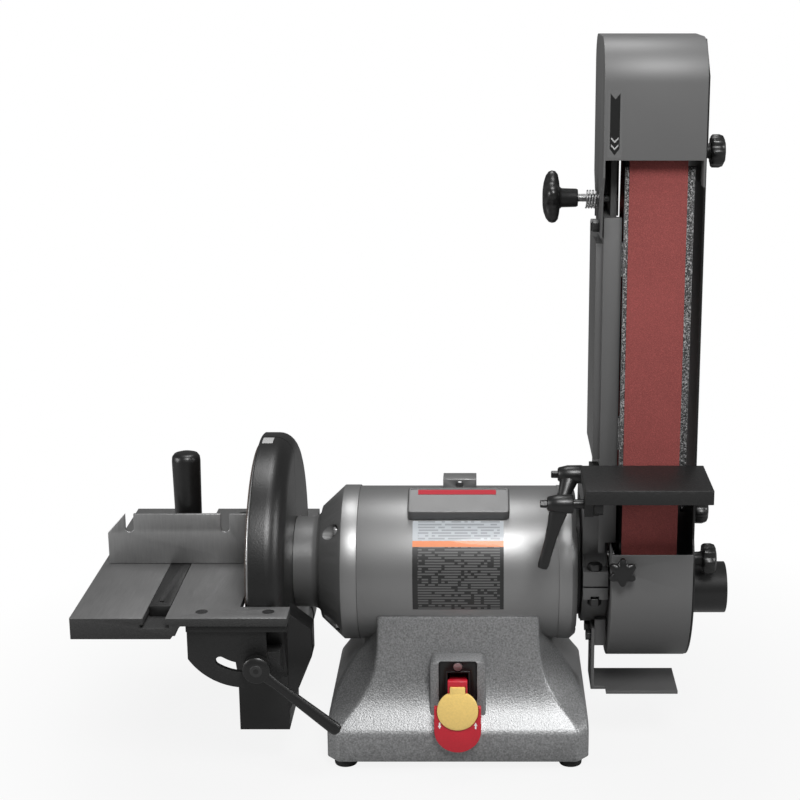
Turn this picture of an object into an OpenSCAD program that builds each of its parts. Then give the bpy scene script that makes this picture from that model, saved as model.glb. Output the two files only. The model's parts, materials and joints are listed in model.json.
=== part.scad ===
// Belt and disc sander: bench pedestal, motor, disc side on the left, belt arm on the right.
// +X to the belt side, +Y to the back, +Z up. The origin is on the floor under the base's centre.

/* [Motor] */
// Height of the motor's axis above the floor
motor_z = 170; // [150:1:200]
// Outside diameter of the motor tube
tube_d = 146; // [130:1:160]
// Wall of the motor tube
tube_wall = 4; // [3:0.5:6]
// Half the length of the motor tube
tube_half = 94; // [80:1:105]
// Diameter of the motor shaft
shaft_d = 20; // [16:1:24]

/* [Disc side] */
// Diameter of the sanding disc
disc_d = 228.6; // [200:1:240]
// Thickness of the disc plate
disc_t = 11; // [8:1:14]
// Gap between the disc's edge and the guard
guard_gap = 6.3; // [4:0.1:10]
// Depth of the disc table, front to back
table_depth = 306; // [290:1:320]
// Width of the disc table
table_w = 146.5; // [120:0.5:170]
// Thickness of the table plate
table_t = 8; // [6:1:12]
// Width of the mitre bar
bar_w = 19; // [15:1:22]
// Height of the mitre fence
fence_h = 50; // [40:1:65]

/* [Belt side] */
// Width of the sanding belt
belt_w = 50.8; // [40:0.2:60]
// Radius of the drive wheel
drive_r = 70; // [60:1:75]
// Radius of the idler wheel
idler_r = 44; // [36:1:50]
// Height of the idler wheel above the motor's axis
idler_h = 426.6; // [380:1:450]
// Width of the belt table
belt_table_w = 111; // [90:1:120]
// Depth of the belt table
belt_table_depth = 76; // [60:1:90]

/* [Base] */
// Width of the base at the floor
base_w = 245; // [225:1:270]
// Depth of the base at the floor
base_depth = 205; // [190:1:230]
// Wall of the base casting
base_wall = 7; // [5:0.5:9]
// Height of the rubber feet
foot_h = 9; // [6:1:14]
// Radius of the bolt holes in the feet and the base
bolt_r = 4.25; // [3:0.05:5.5]

/* [Hidden] */
$fn = 64;
run = 0.03;   // radial running clearance of a shaft
gap = 0.4;    // clearance between bodies that move
sheet = 1.6;  // sheet metal
e = 1;        // how far a cut runs past a face
tube_r = tube_d / 2;
shaft_r = shaft_d / 2;
disc_r = disc_d / 2;
disc_x = -191;                  // face of the abrasive
grit = 1;                         // thickness of the abrasive disc
guard_r = disc_r + guard_gap + 4; // outside of the guard
guard_x0 = -187;
guard_x1 = -156;
bell_x0 = -130.5;
bell_x1 = 111;
bearing_x0 = -126;
table_top = 2.8;                  // above the motor's axis
table_x1 = disc_x - 2.5;
table_x0 = table_x1 - table_w;
table_y0 = -table_depth / 2;
wing_y = guard_r + 1.4;            // the table passes in front of and behind the guard from here
wing_x = -149;
bar_x = table_x0 + 74.4;
tilt_x = disc_x + 3;
tilt_z = table_top - table_t - 0.8;
lock_r = 42;                      // radius of the arc slot
lock_a = 15;                      // angle of the lock bolt from straight down
lock_x = tilt_x + lock_r * sin(lock_a);
lock_z = tilt_z - lock_r * cos(lock_a);
belt_x = 176;                     // middle of the belt
belt_t = 1.2;
belt_gap = 0.3;
idler_y = idler_r - drive_r;      // makes the front run upright
run_y = -drive_r - belt_gap - belt_t; // face of the front run
centre_dist = sqrt(idler_y * idler_y + idler_h * idler_h);
lean = 2 * asin((drive_r - idler_r) / centre_dist); // slant of the back run
arm_x = 130;                      // left face of the arm
door_x = 215.4;
cover_x0 = 127;
foot_x = base_w / 2 - 17;
foot_y = base_depth / 2 - 17.5;
hub_r = 42.5;
table2_z = 119;                   // top of the belt table above the axis
table2_t = 13;
table2_x = 112;
pivot2_y = -113;
pivot2_z = 95;

// ---- helpers; heights are above the motor's axis unless said otherwise ----
module up() { translate([0, 0, motor_z]) children(); }
module xcyl(x0, x1, r, y = 0, z = 0, r2 = -1) {
    translate([x0, y, z]) rotate([0, 90, 0]) cylinder(h = x1 - x0, r1 = r, r2 = r2 < 0 ? r : r2);
}

module ycyl(y0, y1, r, x = 0, z = 0, r2 = -1) {
    translate([x, y0, z]) rotate([-90, 0, 0]) cylinder(h = y1 - y0, r1 = r, r2 = r2 < 0 ? r : r2);
}

module block(a, b) { translate(a) cube(b - a); }
// A solid of revolution about the X axis; points are [x, radius]
module turn_x(points) { rotate([0, 90, 0]) rotate([0, 0, 90]) rotate_extrude() polygon([for (p = points) [p[1], p[0]]]); }
// A profile in Y and Z, pushed along X
module side_plate(x0, x1) { translate([x0, 0, 0]) rotate([90, 0, 90]) linear_extrude(x1 - x0) children(); }
// A profile in X and Z, pushed along Y
module front_plate(y0, y1) { translate([0, y1, 0]) rotate([90, 0, 0]) linear_extrude(y1 - y0) children(); }
module hex_x(x0, x1, flats, y, z) { translate([x0, y, z]) rotate([0, 90, 0]) cylinder(h = x1 - x0, r = flats / sqrt(3), $fn = 6); }

// ---- stand ----
// Half-width or half-depth of the pedestal against height above the floor, from the top down
base_top_z = 140;
function base_side(w, top, inset) = [
    [top - inset, base_top_z - inset], [top - inset, 96], [top + 4 - inset, 77], [w - 26.5 - inset, 57],
    [w - 8.5 - inset, 46], [w - inset, 38], [w - inset, foot_h - (inset > 0 ? e : 0)]];
module base_outline(w, top, inset) {
    right = base_side(w / 2, top, inset);
    polygon(concat(right, [for (i = [len(right) - 1:-1:0]) [-right[i][0], right[i][1]]]));
}

module base_solid(inset) {
    intersection() {
        front_plate(-base_depth, base_depth) base_outline(base_w, 76, inset);
        side_plate(-base_w, base_w) base_outline(base_depth, 69, inset);
    }
}
frame_w = 52;
frame_y = -91;    // front of the raised frame
frame_deep = 7;   // its pocket's depth
frame_z1 = 105;
plate_w = 35;
plate_z0 = 28;
plate_z1 = 104;
box_w = 23;
box_z0 = 48;
box_z1 = 93.5;
module at_feet() { for (x = [-foot_x, foot_x], y = [-foot_y, foot_y]) translate([x, y, 0]) children(); }
module base_casting() color("dimgray") {
    difference() {
        union() {
            difference() {
                base_solid(0);
                base_solid(base_wall);
            }
            at_feet() translate([0, 0, foot_h]) cylinder(h = 12, r = 10);
            // raised frame round the switch
            block([-frame_w / 2, frame_y, 26], [frame_w / 2, -60, frame_z1]);
        }
        block([-plate_w / 2, -base_depth, plate_z0], [plate_w / 2, frame_y + frame_deep, plate_z1]);
        // the motor rests in the saddle
        up() xcyl(-base_w, base_w, tube_r);
        at_feet() translate([0, 0, -e]) cylinder(h = foot_h + 12 + 3 * e, r = bolt_r);
        block([-box_w / 2, -base_depth, box_z0], [box_w / 2, -40, box_z1]);
        // cable hole at the back
        translate([60, 0, 0]) ycyl(40, base_depth, 8, 0, 60);
        block([-60, -base_depth, foot_h - e], [60, base_depth, foot_h + 3]);
    }
}

module rubber_feet() color("black") at_feet() difference() {
    cylinder(h = foot_h, r1 = 10.5, r2 = 11.5);
    translate([0, 0, -e]) cylinder(h = foot_h + 2 * e, r = bolt_r);
}

module bottom_plate() color("gray") {
    block([-foot_x + 14, -base_depth / 2 + base_wall + 1, foot_h + 4], [foot_x - 14, base_depth / 2 - base_wall - 1, foot_h + 5.5]);
}

// ---- motor ----
module motor_shell() color("silver") up() difference() {
    xcyl(-tube_half, tube_half, tube_r);
    xcyl(-tube_half - e, tube_half + e, tube_r - tube_wall);
}
tie_at = tube_r - 9;  // how far out the tie bolts run
module tie_places() { for (a = [45:90:315]) rotate([a, 0, 0]) translate([0, 0, tie_at]) children(); }
module left_end_bell() color("silver") up() difference() {
    turn_x([[-tube_half, tube_r - 15], [-tube_half, tube_r + 1], [-109, tube_r + 1], [bell_x0, 54], [bell_x0, 50],
        [-134, 45.5], [-139, 43.5], [guard_x1 + 0.2, 43.5], [guard_x1 + 0.2, 17], [-150, 17], [-150, 36], [-130, 36],
        [bearing_x0, 30], [bearing_x0, 23.5], [bearing_x0 + 14, 23.5], [bearing_x0 + 14, 30], [-119, 34], [-119, 46]]);
    tie_places() xcyl(-140, -111, 7);
    tie_places() xcyl(-112, -tube_half + e, 2.5);
}

module right_end_bell() color("silver") up() difference() {
    turn_x([[tube_half, tube_r - 15], [tube_half, tube_r + 0.5], [106, tube_r + 0.5], [bell_x1, tube_r - 4],
        [bell_x1, 23.5], [bell_x1 - 14, 23.5], [bell_x1 - 14, 32], [103, 40]]);
    tie_places() xcyl(106, 112, 6);
    tie_places() xcyl(tube_half - e, 107, 2.5);
}

module tie_bolts() color("lightgray") up() tie_places() {
    xcyl(-111, 106, 2.5);
    hex_x(-116, -111, 9, 0, 0);
    hex_x(106, 109, 8, 0, 0);
}

module stator() color("chocolate") up() difference() {
    xcyl(-42, 42, tube_r - tube_wall);
    xcyl(-43, 43, 44.5);
    tie_places() xcyl(-43, 43, 3.5);
}

module rotor() color("darkgray") up() difference() {
    xcyl(-44, 44, 43.6);
    xcyl(-45, 45, shaft_r);
}

module motor_shaft() color("silver") up() xcyl(guard_x1 - 17, belt_x + belt_w / 2 + 4, shaft_r);
module motor_bearings() color("silver") up() for (x = [bearing_x0, bell_x1 - 14]) difference() {
    xcyl(x, x + 14, 23.5);
    xcyl(x - e, x + 15, shaft_r + run);
}
// A strip of the tube's front, from angle a0 to a1 forward of the top
module tube_strip(x0, x1, r, a0, a1) {
    intersection() {
        difference() {
            xcyl(x0, x1, r);
            xcyl(x0 - e, x1 + e, tube_r);
        }
        side_plate(x0 - e, x1 + e) polygon(concat([[0, 0]], [for (a = [a0, (a0 + a1) / 2, a1]) 2 * r * [-sin(a), cos(a)]]));
    }
}

plate_tilt = 25.5; // lean of the raised plate towards the front
plate_face = 82;   // its face from the motor's axis
plate_half = 17;
module name_plate() color("silver") up() rotate([plate_tilt, 0, 0]) difference() {
    block([-47, -plate_half, tube_r - 2], [48, plate_half, plate_face]);
    xcyl(-base_w, base_w, tube_r);
}

module rating_label() color("lightslategray") up() tube_strip(-42, 42.5, tube_r + 0.3, 39.5, 107.5);
module cable_bracket() color("silver") up() difference() {
    block([-14.5, -10, tube_r - 2], [17, 10, tube_r + 13]);
    xcyl(-60, 60, tube_r);
    ycyl(-20, 20, 3.6, 1.2, tube_r + 7);
}

module inlet_gland() color("black") difference() {
    union() {
        ycyl(80, 112, 7.9, 60, 60);
        ycyl(base_depth / 2, base_depth / 2 + 5, 13, 60, 60);
    }
    ycyl(79, 120, 4, 60, 60);
}

// ---- switch ----
plate_screw_z = [33, 98.8];
module switch_plate() color("black") difference() {
    block([-plate_w / 2, frame_y + frame_deep - 3, plate_z0], [plate_w / 2, frame_y + frame_deep, plate_z1]);
    block([-box_w / 2, -90, box_z0], [box_w / 2, -80, box_z1]);
    for (z = plate_screw_z) ycyl(-90, -80, 2.2, 0, z);
}

module switch_box() color("black") difference() {
    block([-box_w / 2, frame_y + frame_deep - 3, box_z0], [box_w / 2, -62, box_z1]);
    block([-box_w / 2 + 2, -88, box_z0 + 2], [box_w / 2 - 2, -66, box_z1 - 2]);
}

module switch_screws() color("lightgray") for (z = plate_screw_z) {
    ycyl(-89.5, -87, 4, 0, z);
    ycyl(-87, -84, 2.2, 0, z);
}
// The red paddle slides up and down in its box and carries the key
paddle_z = 64;
paddle_r = 21.6;
paddle_y = -110;
module paddle_outline() {
    translate([-paddle_r, paddle_z - 20]) square([2 * paddle_r, 23]);
    translate([0, paddle_z - 20]) circle(paddle_r);
    translate([-9, paddle_z]) square([18, 29]);
}

module key_outline(r, half) {
    translate([0, paddle_z]) circle(r);
    translate([-half, paddle_z]) square([2 * half, 24]);
}

module switch_paddle() color("crimson") difference() {
    union() {
        front_plate(paddle_y, paddle_y + 6) paddle_outline();
        block([-8, paddle_y + 6, 56], [8, -70, 84]);
    }
    front_plate(paddle_y - e, paddle_y + 3) key_outline(19.4, 7.4);
}

module safety_key() color("khaki") front_plate(paddle_y - 3, paddle_y + 2.6) key_outline(19, 7);

// ---- disc side ----
// The guard is a U-shaped ring around the upper part of the disc, in two halves
guard_low = -12;  // lower edge of the guard above the axis
module guard_half(back, extra) {
    difference() {
        turn_x([[guard_x0, guard_r + extra], [guard_x1 - 14, guard_r + extra], [guard_x1 - 5, guard_r - 3],
            [guard_x1, guard_r - 13], [guard_x1, 34], [guard_x1 - 3, 34], [guard_x1 - 3, guard_r - 14],
            [guard_x1 - 8, guard_r - 7], [guard_x1 - 15, guard_r - 4], [guard_x0, guard_r - 4]]);
        block([-300, -200, -200], [-100, 200, guard_low]);
        if (back) block([-300, -200, -200], [-100, 0, 200]);
        else block([-300, 0, -200], [-100, 200, 200]);
    }
}

module guard_front() color("black") up() guard_half(false, 0);
module guard_rear() color("black") up() guard_half(true, 0);
module disc_plate() color("lightgray") up() difference() {
    union() {
        xcyl(disc_x + grit, disc_x + grit + disc_t, disc_r);
        xcyl(disc_x + grit + disc_t, guard_x1 - 0.5, 24);
    }
    xcyl(guard_x1 - 17, guard_x1, shaft_r);
    xcyl(disc_x, disc_x + 6, 10);
    xcyl(disc_x, guard_x1, 4);
}

module abrasive_disc() color("saddlebrown") up() difference() {
    xcyl(disc_x, disc_x + grit, disc_r);
    xcyl(disc_x - e, disc_x + grit + e, 10);
}

module disc_bolt() color("gray") up() {
    hex_x(disc_x + grit + 0.5, disc_x + 6, 13, 0, 0);
    xcyl(disc_x + 6, guard_x1 - 17, 4);
}
// The chute wraps the lower part of the disc and leads to a round outlet at the back
chute_x0 = -202;
port_x = -179;
port_z = -99.5;
chute_z0 = -130;
module dust_chute() color("black") up() {
    difference() {
        union() {
            difference() {
                xcyl(chute_x0, guard_x1, guard_r);
                block([-300, -200, guard_low - 0.3], [-100, 200, 200]);
                block([-300, -200, -30], [guard_x0, 200, 200]);
            }
            block([chute_x0, -98, chute_z0], [guard_x1, -20, -70]);
            front_plate(-96, -70) polygon([[guard_x1, -14], [-134, -32], [-134, -58], [guard_x1, -112]]);
            ycyl(20, 108, 25, port_x, port_z);
            ycyl(108, 136, 26, port_x, port_z);
        }
        xcyl(chute_x0 + 4, guard_x1 - 4, guard_r - 4);
        block([chute_x0 + 4, -94, chute_z0 + 4], [guard_x1 - 4, -24, -70]);
        block([-300, -80, -40], [chute_x0 + 5, 80, 40]);
        ycyl(40, 137, 23.5, port_x, port_z);
        xcyl(guard_x1 - 5, guard_x1 + e, 34);
    }
}

// ---- disc table ----
slot_half = bar_w / 2 + 0.5;
slot_depth = 10;
module both_ends() { for (m = [0, 1]) mirror([0, m, 0]) children(); }
module disc_table() color("dimgray") up() difference() {
    union() {
        block([table_x0, table_y0, table_top - table_t], [table_x1, -table_y0, table_top]);
        both_ends() block([table_x1 - e, table_y0, table_top - table_t], [wing_x, -wing_y, table_top]);
        // rim under the left, front and back edges, and the rib that holds the slot
        block([table_x0, table_y0, table_top - 20], [table_x0 + 8, -table_y0, table_top - table_t]);
        both_ends() front_plate(table_y0, table_y0 + 8)
            polygon([[table_x0, table_top - table_t], [table_x0, table_top - 20], [-252, table_top - 20], [-243, table_top - table_t]]);
        block([bar_x - slot_half - 8, table_y0, table_top - slot_depth - 7], [bar_x + slot_half + 8, -table_y0, table_top - table_t]);
    }
    block([bar_x - slot_half, table_y0 - e, table_top - slot_depth], [bar_x + slot_half, -table_y0 + e, table_top + e]);
    block([bar_x - slot_half - 3, table_y0 - e, table_top - slot_depth], [bar_x + slot_half + 3, -table_y0 + e, table_top - slot_depth + 3.4]);
    at_table_screws() screw_space(screw_r, table_top);
}
screw_r = 2.4;
module at_table_screws() { both_ends() for (x = [-226, -167]) translate([x, table_y0 + 15.5, 0]) children(); }
// A countersunk screw from the top face down through the trunnion's flange
module screw_space(r, top) {
    translate([0, 0, table_top - 2.6]) cylinder(h = 2.6 + (top - table_top), r1 = r, r2 = 5.6);
    translate([0, 0, table_top - table_t - 7]) cylinder(h = table_t + 4.6, r = r);
}

module table_screws() color("dimgray") up() at_table_screws() screw_space(screw_r, table_top);
quad_r = 61;
quad_t = 5;
quad_y = table_y0 + 8.5;
module arc_slot(r, width, a0, a1) {
    // angles are from straight down, positive to the left; one outline, with round ends
    steps = 20;
    cap = 8;
    function out(a) = [-sin(a), -cos(a)];
    function along(a) = [-cos(a), sin(a)];
    function round_end(a, way) = [for (i = [1:cap - 1]) let (b = 180 * i / cap)
        r * out(a) + way * width / 2 * (cos(b) * out(a) + sin(b) * along(a))];
    polygon(concat(
        [for (i = [0:steps]) (r + width / 2) * out(a0 + (a1 - a0) * i / steps)], round_end(a1, 1),
        [for (i = [0:steps]) (r - width / 2) * out(a1 + (a0 - a1) * i / steps)], round_end(a0, -1)));
}

module table_trunnion() color("black") up() both_ends() difference() {
    union() {
        front_plate(quad_y, quad_y + quad_t) intersection() {
            translate([tilt_x, tilt_z]) circle(quad_r);
            translate([-239, -100]) square([70, 100 + table_top - table_t - 7]);
        }
        block([-239, quad_y - 4, table_top - table_t - 7], [wing_x - 1, quad_y + 18, table_top - table_t]);
    }
    front_plate(quad_y - e, quad_y + quad_t + e) translate([tilt_x, tilt_z]) arc_slot(lock_r, 8.8, -lock_a - 2, 45 - lock_a + 2);
    for (x = [-226, -167]) translate([x, table_y0 + 15.5, table_top - table_t - 8]) cylinder(h = 9, r = screw_r);
}

module trunnion_bracket() color("black") up() both_ends() difference() {
    union() {
        front_plate(quad_y + quad_t + gap, quad_y + quad_t + gap + 6) hull() {
            translate([lock_x, lock_z]) circle(13, $fn = 32);
            translate([-168, -54]) circle(12, $fn = 32);
        }
        block([-184, quad_y + quad_t + gap + 2, -62], [-158, -90, -36]);
    }
    ycyl(-170, -90, 4.03, lock_x, lock_z);
    xcyl(-300, -100, guard_r);
}

module lock_bolt() color("gray") up() {
    ycyl(quad_y - 11, quad_y + quad_t + gap + 12, 4, lock_x, lock_z);
    ycyl(quad_y - 2, quad_y - gap, 8, lock_x, lock_z);
    ycyl(-quad_y - quad_t - gap - 12, -quad_y + 6, 4, lock_x, lock_z);
    ycyl(-quad_y + gap, -quad_y + 6, 9, lock_x, lock_z);
}
lever_end = [72, -60];
module lock_lever() color("black") up() difference() {
    union() {
        ycyl(quad_y - 12, quad_y - 2 - gap, 12.5, lock_x, lock_z);
        front_plate(quad_y - 10, quad_y - 4) translate([lock_x, lock_z]) polygon([[6, 7], lever_end + [5, 6], lever_end + [-3, -6], [-6, -7]]);
    }
    ycyl(quad_y - 9, quad_y, 4 + run, lock_x, lock_z);
    ycyl(quad_y - 11.2, quad_y - 8, 4.5, lock_x, lock_z);
}

// ---- mitre gauge ----
fence_y = -15;
head_x = bar_x + 4.8;
head_y = 10;   // swivel axis of the head
bar_front = -124;
module mitre_bar() color("gray") up() difference() {
    union() {
        block([bar_x - bar_w / 2, bar_front, table_top - slot_depth + 0.3], [bar_x + bar_w / 2, 90, table_top - 0.2]);
        translate([head_x, head_y, table_top - 1]) cylinder(h = 26, r = 3);
    }
    translate([bar_x, bar_front + 12, -20]) cylinder(h = 40, r = 2.5);
}

module fence_slot(x) {
    translate([x - 4, table_top + fence_h - 14]) square([8, 30]);
    translate([x, table_top + fence_h - 14]) circle(4);
}

module mitre_fence() color("darkgray") up() difference() {
    union() {
        front_plate(fence_y, fence_y + 3) difference() {
            polygon([[-334, table_top + gap], [disc_x - 5.5, table_top + gap], [disc_x - 5.5, table_top + fence_h],
                [-317, table_top + fence_h], [-334, table_top + fence_h - 19]]);
            fence_slot(-313);
            fence_slot(-222);
        }
        translate([head_x, head_y, table_top + gap]) cylinder(h = 8, r = 24);
        block([bar_x - 30, fence_y + 3, table_top + gap], [bar_x + 30, fence_y + 9, table_top + 34]);
        block([bar_x - 20, fence_y + 3, table_top + gap], [bar_x + 20, head_y, table_top + 8 + gap]);
    }
    translate([head_x, head_y, 0]) cylinder(h = 60, r = 3 + run);
}

module mitre_handle() color("black") up() difference() {
    translate([head_x, head_y, table_top + 8 + 2 * gap]) cylinder(h = 95, r1 = 12.4, r2 = 13.6);
    translate([head_x, head_y, 0]) cylinder(h = table_top + 30, r = 3 + run);
}

// ---- belt arm ----
platen_z0 = 105;
platen_z1 = 388;
arm_top = 342;
hub_x1 = 139;
module mount_hub() color("dimgray") up() difference() {
    union() {
        xcyl(bell_x1, bell_x1 + 4.6, hub_r + 8);
        xcyl(bell_x1, hub_x1, hub_r);
    }
    xcyl(bell_x1 - e, hub_x1 + e, shaft_r + 6);
}

module arm_casting() color("gray") up() difference() {
    union() {
        side_plate(arm_x, arm_x + 6) polygon([[-60, 30], [-60, arm_top], [46, arm_top], [46, 60], [44, 30]]);
        block([arm_x, -60, 40], [arm_x + 16, -53, arm_top]);
        side_plate(arm_x, arm_x + 16) polygon([[39, 60], [46, 60], [46, arm_top], [39, arm_top]]);
        block([arm_x, -60, arm_top - 6], [arm_x + 6, 46, arm_top]);
        block([arm_x + 6, -36, 236], [arm_x + 15, -16, 244]);
        // the wall stands proud between the table's link and the cover
        side_plate(arm_x - 6, arm_x + 1) polygon([[-52, 118], [-52, 318], [38, 318], [38, 118]]);
        xcyl(bell_x1 + 5, hub_x1, hub_r + 15);
        side_plate(bell_x1 + 5, arm_x + 6) polygon([[-50, 20], [-60, 66], [40, 66], [50, 20]]);
        block([bell_x1 + 5, -71, -12], [hub_x1, -40, 15]);
        block([129, -46, -68], [hub_x1, -6, -42]);
    }
    for (z = [-30, 15]) translate([127, -64.5, z]) cylinder(h = 18 - 3 * sign(z), r = 7.6);
    block([bell_x1, -48.05, -70], [129, -4.95, -49.95]);
    xcyl(bell_x1, hub_x1 + e, hub_r + run);
    block([bell_x1, -80, -0.9], [hub_x1 + e, -30, 0.9]);
    translate([127, -64.5, -20]) cylinder(h = 50, r = 3);
    xcyl(arm_x - e, arm_x + 7, 4.03, slide_y, slide_z);
    for (p = cover_bolt_at) xcyl(arm_x - e, arm_x + 7, 3, p[0], p[1]);
    for (y = [-38, -14]) xcyl(120, hub_x1 + e, 3, y, -60);
}

module arm_bolts() color("black") up() {
    translate([127, -64.5, -19]) cylinder(h = 7, r = 6.5, $fn = 6);
    translate([127, -64.5, -12]) cylinder(h = 27, r = 3);
    translate([127, -64.5, 15]) cylinder(h = 6, r = 6.5, $fn = 6);
    for (y = [-38, -14]) {
        hex_x(121, 126, 10, y, -60);
        xcyl(126, hub_x1, 3, y, -60);
    }
    for (p = cover_bolt_at) {
        hex_x(cover_x0 - 6, cover_x0, 10, p[0], p[1]);
        xcyl(cover_x0, arm_x + 6, 3, p[0], p[1]);
    }
}

module drive_wheel() color("black") up() difference() {
    xcyl(belt_x - belt_w / 2 - 1, belt_x + belt_w / 2 + 1, drive_r);
    xcyl(belt_x - belt_w, belt_x + belt_w, shaft_r);
    for (side = [-1, 1]) translate([belt_x + side * (belt_w / 2 + 1 - 10), 0, 0]) difference() {
        xcyl(-10 - e, 10 + e, drive_r - 9);
        xcyl(-10 - 2 * e, 10 + 2 * e, 20);
    }
}
axle_r = 6;
module idler_wheel() color("black") up() difference() {
    xcyl(belt_x - belt_w / 2 - 1, belt_x + belt_w / 2 + 1, idler_r, idler_y, idler_h);
    xcyl(belt_x - belt_w, belt_x + belt_w, axle_r + run, idler_y, idler_h);
    for (side = [-1, 1]) translate([belt_x + side * (belt_w / 2 + 1 - 8), 0, 0]) difference() {
        xcyl(-8 - e, 8 + e, idler_r - 8, idler_y, idler_h);
        xcyl(-8 - 2 * e, 8 + 2 * e, 15, idler_y, idler_h);
    }
}

module idler_axle() color("silver") up() {
    xcyl(arm_x + 6.4, belt_x + belt_w / 2 + 6, axle_r, idler_y, idler_h);
    xcyl(belt_x + belt_w / 2 + 1.4, belt_x + belt_w / 2 + 3, 10, idler_y, idler_h);
}
track_z = 354;
module idler_bracket() color("gray") up() difference() {
    block([arm_x + 6.4, -46, 290], [arm_x + 12, -4, 446]);
    xcyl(arm_x, arm_x + 20, axle_r, idler_y, idler_h);
    xcyl(arm_x, arm_x + 20, 4.03, idler_y, track_z);
}

module tension_spring() color("silver") up() translate([arm_x + 10.7, -25, 244]) difference() {
    cylinder(h = 46, r = 4.5);
    translate([0, 0, -e]) cylinder(h = 48, r = 3);
}

module tracking_knob() color("black") up() {
    xcyl(77, 92, 17.5, idler_y, track_z);
    for (i = [0:4]) xcyl(78.5, 91, 6, idler_y + 17 * sin(72 * i + 18), track_z + 17 * cos(72 * i + 18));
    xcyl(92, 109, 8.5, idler_y, track_z);
    xcyl(109, arm_x + 14, 4, idler_y, track_z);
}

module tracking_spring() color("silver") up() difference() {
    xcyl(115, cover_x0 - gap, 8.5, idler_y, track_z);
    xcyl(114, cover_x0, 6.5, idler_y, track_z);
}

// ---- belt ----
// Outline of a loop round both wheels, standing off them by d; its front run is upright
function arc_points(c, r, a0, a1, n) = [for (i = [0:n]) let (a = a0 + (a1 - a0) * i / n) c + r * [cos(a), sin(a)]];
module loop_outline(d) {
    polygon(concat(arc_points([idler_y, idler_h], idler_r + d, lean, 180, 36), arc_points([0, 0], drive_r + d, 180, 360 + lean, 40)));
}

module sanding_belt() color("brown") up() side_plate(belt_x - belt_w / 2, belt_x + belt_w / 2) difference() {
    loop_outline(belt_gap + belt_t);
    loop_outline(belt_gap);
}

module platen() color("darkslategray") up() {
    block([147, -drive_r, platen_z0], [208, -drive_r + 7, platen_z1]);
    for (z = [130, 290]) block([arm_x + 16, -drive_r + 7, z], [170, -53, z + 30]);
}

// ---- covers ----
cover_y0 = -84;
cover_y1 = 38;
cover_z0 = 395;
cover_z1 = 498;
cover_bolt_at = [[-45, 333], [-15, 329]];
module cover_profile(i) {
    front_r = 38;
    back_r = 25;
    low = cover_z0 - (i > 0 ? e : 0);
    translate([cover_y0 + i, low]) square([cover_y1 - cover_y0 - 2 * i, cover_z1 - front_r - low]);
    translate([cover_y0 + front_r, cover_z1 - front_r]) circle(front_r - i);
    translate([cover_y0 + front_r, cover_z0]) square([cover_y1 - cover_y0 - front_r - back_r, cover_z1 - cover_z0 - i]);
    translate([cover_y1 - back_r, cover_z1 - back_r]) circle(back_r - i);
    translate([cover_y1 - back_r, cover_z0]) square([back_r - i, cover_z1 - cover_z0 - back_r]);
}

module top_cover() color("gray") up() difference() {
    union() {
        difference() {
            side_plate(cover_x0, door_x - 0.4) cover_profile(0);
            side_plate(cover_x0 + sheet, door_x - 0.4 - sheet) cover_profile(sheet);
        }
        side_plate(cover_x0, cover_x0 + sheet)
            polygon([[cover_y0, 380], [cover_y0, cover_z0], [cover_y1, cover_z0], [cover_y1, 372], [-4, 324], [-62, 324], [-70, 362]]);
        side_plate(door_x - 0.4 - sheet, door_x - 0.4)
            polygon([[cover_y0, 372], [cover_y0, cover_z0], [cover_y1, cover_z0], [cover_y1, 372]]);
        for (p = cover_bolt_at) xcyl(cover_x0 + sheet, arm_x, 6, p[0], p[1]);
    }
    for (p = cover_bolt_at) xcyl(cover_x0 - e, arm_x + e, 3, p[0], p[1]);
    xcyl(door_x - 6, door_x, 3.3, door_knob_at[0][0], door_knob_at[0][1]);
    block([cover_x0 - e, idler_y - 5, track_z - 14], [cover_x0 + 2 * sheet, idler_y + 5, track_z + 5]);
}
lower_r = 88.7;
lower_x0 = 141;
lower_top = 38;
module lower_profile(r) {
    intersection() {
        union() {
            circle(r);
            translate([-r, 0]) square([2 * r, 80]);
        }
        translate([-r, -r - e]) square([2 * r, r + e + lower_top + (r < lower_r ? e : 0)]);
    }
}

module lower_cover() color("gray") up() difference() {
    side_plate(lower_x0, door_x - 0.4) lower_profile(lower_r);
    side_plate(lower_x0 + sheet, door_x + e) lower_profile(lower_r - sheet);
    xcyl(lower_x0 - e, lower_x0 + 2 * sheet, 52);
    ycyl(-95, -80, 3.03, 150, 24);
}

module cover_knob() color("black") up() {
    ycyl(-101, -93, 9, 150, 24);
    for (i = [0:6]) ycyl(-100, -94, 3.6, 150 + 9 * sin(i * 360 / 7), 24 + 9 * cos(i * 360 / 7));
    ycyl(-93, -lower_r - gap, 5, 150, 24);
    ycyl(-lower_r - gap, -84, 3, 150, 24);
}
door_knob_at = [[-26, 397], [4, 52], [-61.5, 25]];
port2_y = -40;
port2_z = -11;
module side_door() color("black") up() difference() {
    union() {
        side_plate(door_x, door_x + sheet) circle(lower_r - 0.5);
        side_plate(door_x, door_x + sheet) polygon([[-74, -20], [-74, 400], [-80, 410], [-80, 466], [-50, 496], [10, 496], [26, 478], [26, 400], [83, 20]]);
    }
    for (p = door_knob_at) xcyl(door_x - e, door_x + 3, 3.03, p[0], p[1]);
    xcyl(door_x - e, door_x + 3, 22, port2_y, port2_z);
}

module door_knob(p) {
    xcyl(door_x + sheet + gap, 226, 6.5, p[0], p[1]);
    xcyl(226, 234, 15, p[0], p[1]);
    xcyl(234, 239, 15, p[0], p[1], 9);
    xcyl(door_x - 3, door_x + sheet + gap, 3, p[0], p[1]);
}

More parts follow.
